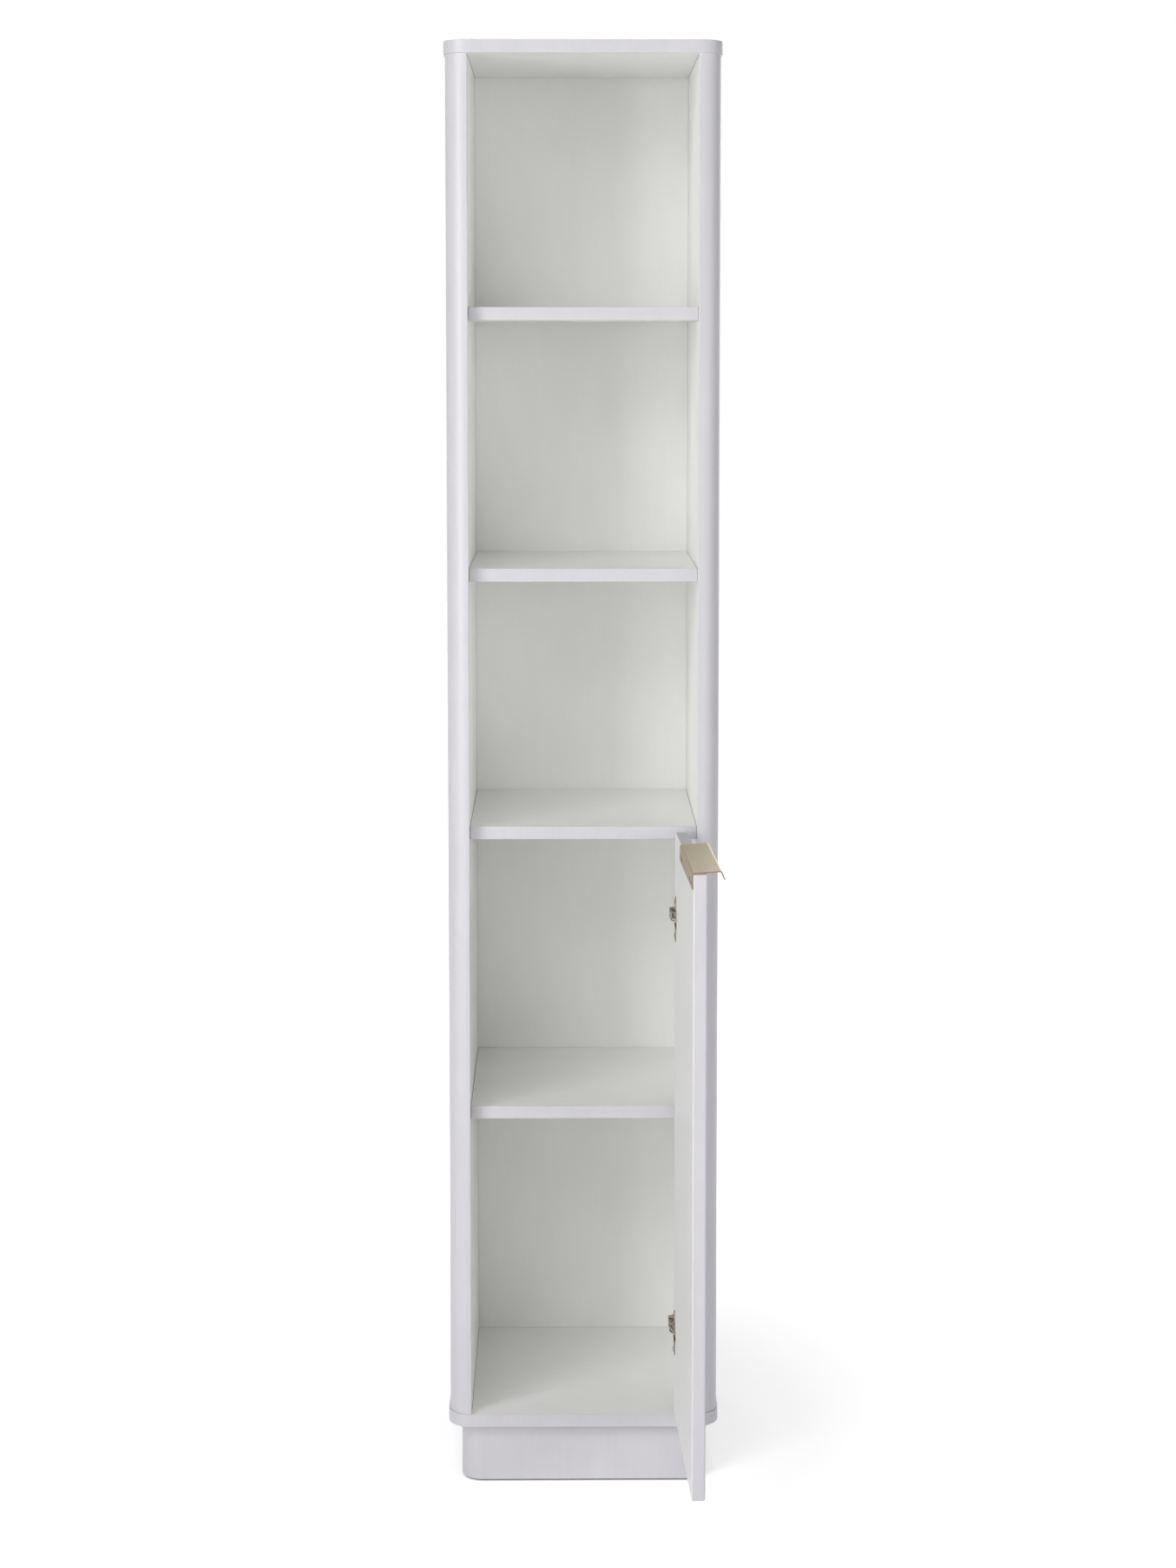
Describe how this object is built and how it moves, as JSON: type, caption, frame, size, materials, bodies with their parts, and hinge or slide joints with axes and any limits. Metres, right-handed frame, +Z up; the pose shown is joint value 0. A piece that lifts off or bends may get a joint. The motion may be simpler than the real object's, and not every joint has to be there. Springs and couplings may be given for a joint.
{
  "type": "tall cabinet",
  "caption": "Slim white tall cabinet with rounded front corners: open shelves above an inset door on concealed hinges with a brass edge pull, on a recessed plinth.",
  "frame": {"origin": "on the floor, under the middle of the top board", "axes": "+X to the right seen from the front, +Y to the rear, +Z up; the door is stored open"},
  "size_m": [0.34, 0.5897, 1.8],
  "materials": {
    "white_board": "board with a satin white lacquer",
    "dowel_wood": "plain beech, glued in",
    "block_board": "bare board",
    "glide_plastic": "dark moulded plastic",
    "brushed_brass": "pale champagne brass, brushed lengthwise",
    "nickel_steel": "nickel-plated pressed steel",
    "screw_steel": "nickel-plated steel screw",
    "spring_steel": "bright spring steel"
  },
  "bodies": {
    "cabinet": {"top_panel": "white_board", "bottom_panel": "white_board", "side_panel_left": "white_board", "side_panel_right": "white_board", "back_panel": "white_board", "shelf_upper": "white_board", "shelf_middle": "white_board", "shelf_divider": "white_board", "shelf_cupboard": "white_board", "carcass_dowels": "dowel_wood", "shelf_dowels": "dowel_wood", "plinth_front": "white_board", "plinth_side_left": "white_board", "plinth_side_right": "white_board", "plinth_rear": "white_board", "plinth_blocks": "block_board", "plinth_screws": "screw_steel", "glides": "glide_plastic", "hinge_upper_plate": "nickel_steel", "hinge_upper_plate_screws": "screw_steel", "hinge_upper_arm": "nickel_steel", "hinge_upper_arm_screws": "screw_steel", "hinge_upper_arm_pins": "nickel_steel", "hinge_upper_spring": "spring_steel", "hinge_lower_plate": "nickel_steel", "hinge_lower_plate_screws": "screw_steel", "hinge_lower_arm": "nickel_steel", "hinge_lower_arm_screws": "screw_steel", "hinge_lower_arm_pins": "nickel_steel", "hinge_lower_spring": "spring_steel"},
    "door": {"door_panel": "white_board", "edge_pull": "brushed_brass", "pull_screws": "brushed_brass", "hinge_upper_cup": "nickel_steel", "hinge_upper_cup_pins": "nickel_steel", "hinge_upper_cup_screws": "screw_steel", "hinge_lower_cup": "nickel_steel", "hinge_lower_cup_pins": "nickel_steel", "hinge_lower_cup_screws": "screw_steel"},
    "upper_outer_link": {"hinge_upper_outer_link": "nickel_steel"},
    "upper_inner_link": {"hinge_upper_inner_link": "nickel_steel"},
    "lower_outer_link": {"hinge_lower_outer_link": "nickel_steel"},
    "lower_inner_link": {"hinge_lower_inner_link": "nickel_steel"}
  },
  "joints": [
    {"name": "upper_outer_swing", "type": "hinge", "parent": "cabinet", "child": "upper_outer_link", "pos_m": [0.1098, -0.1387, 0.7265], "axis": [0, 0, 1], "range_deg": [0, 63]},
    {"name": "door_swing", "type": "hinge", "parent": "upper_outer_link", "child": "door", "pos_m": [0.11528, -0.16004, 0.7265], "axis": [0, 0, 1], "range_deg": [-155, 0]},
    {"name": "lower_outer_swing", "type": "hinge", "parent": "cabinet", "child": "lower_outer_link", "pos_m": [0.1098, -0.1387, 0.202], "axis": [0, 0, 1], "range_deg": [0, 63]},
    {"name": "upper_inner_swing", "type": "hinge", "parent": "cabinet", "child": "upper_inner_link", "pos_m": [0.1131, -0.1478, 0.7265], "axis": [0, 0, 1], "range_deg": [0, 73]},
    {"name": "lower_inner_swing", "type": "hinge", "parent": "cabinet", "child": "lower_inner_link", "pos_m": [0.1131, -0.1478, 0.202], "axis": [0, 0, 1], "range_deg": [0, 73]}
  ],
  "couplings": [
    {"joint": "upper_outer_swing", "follows": "door_swing", "ratio": -0.40645},
    {"joint": "lower_outer_swing", "follows": "door_swing", "ratio": -0.40645},
    {"joint": "upper_inner_swing", "follows": "door_swing", "ratio": -0.47097},
    {"joint": "lower_inner_swing", "follows": "door_swing", "ratio": -0.47097}
  ]
}
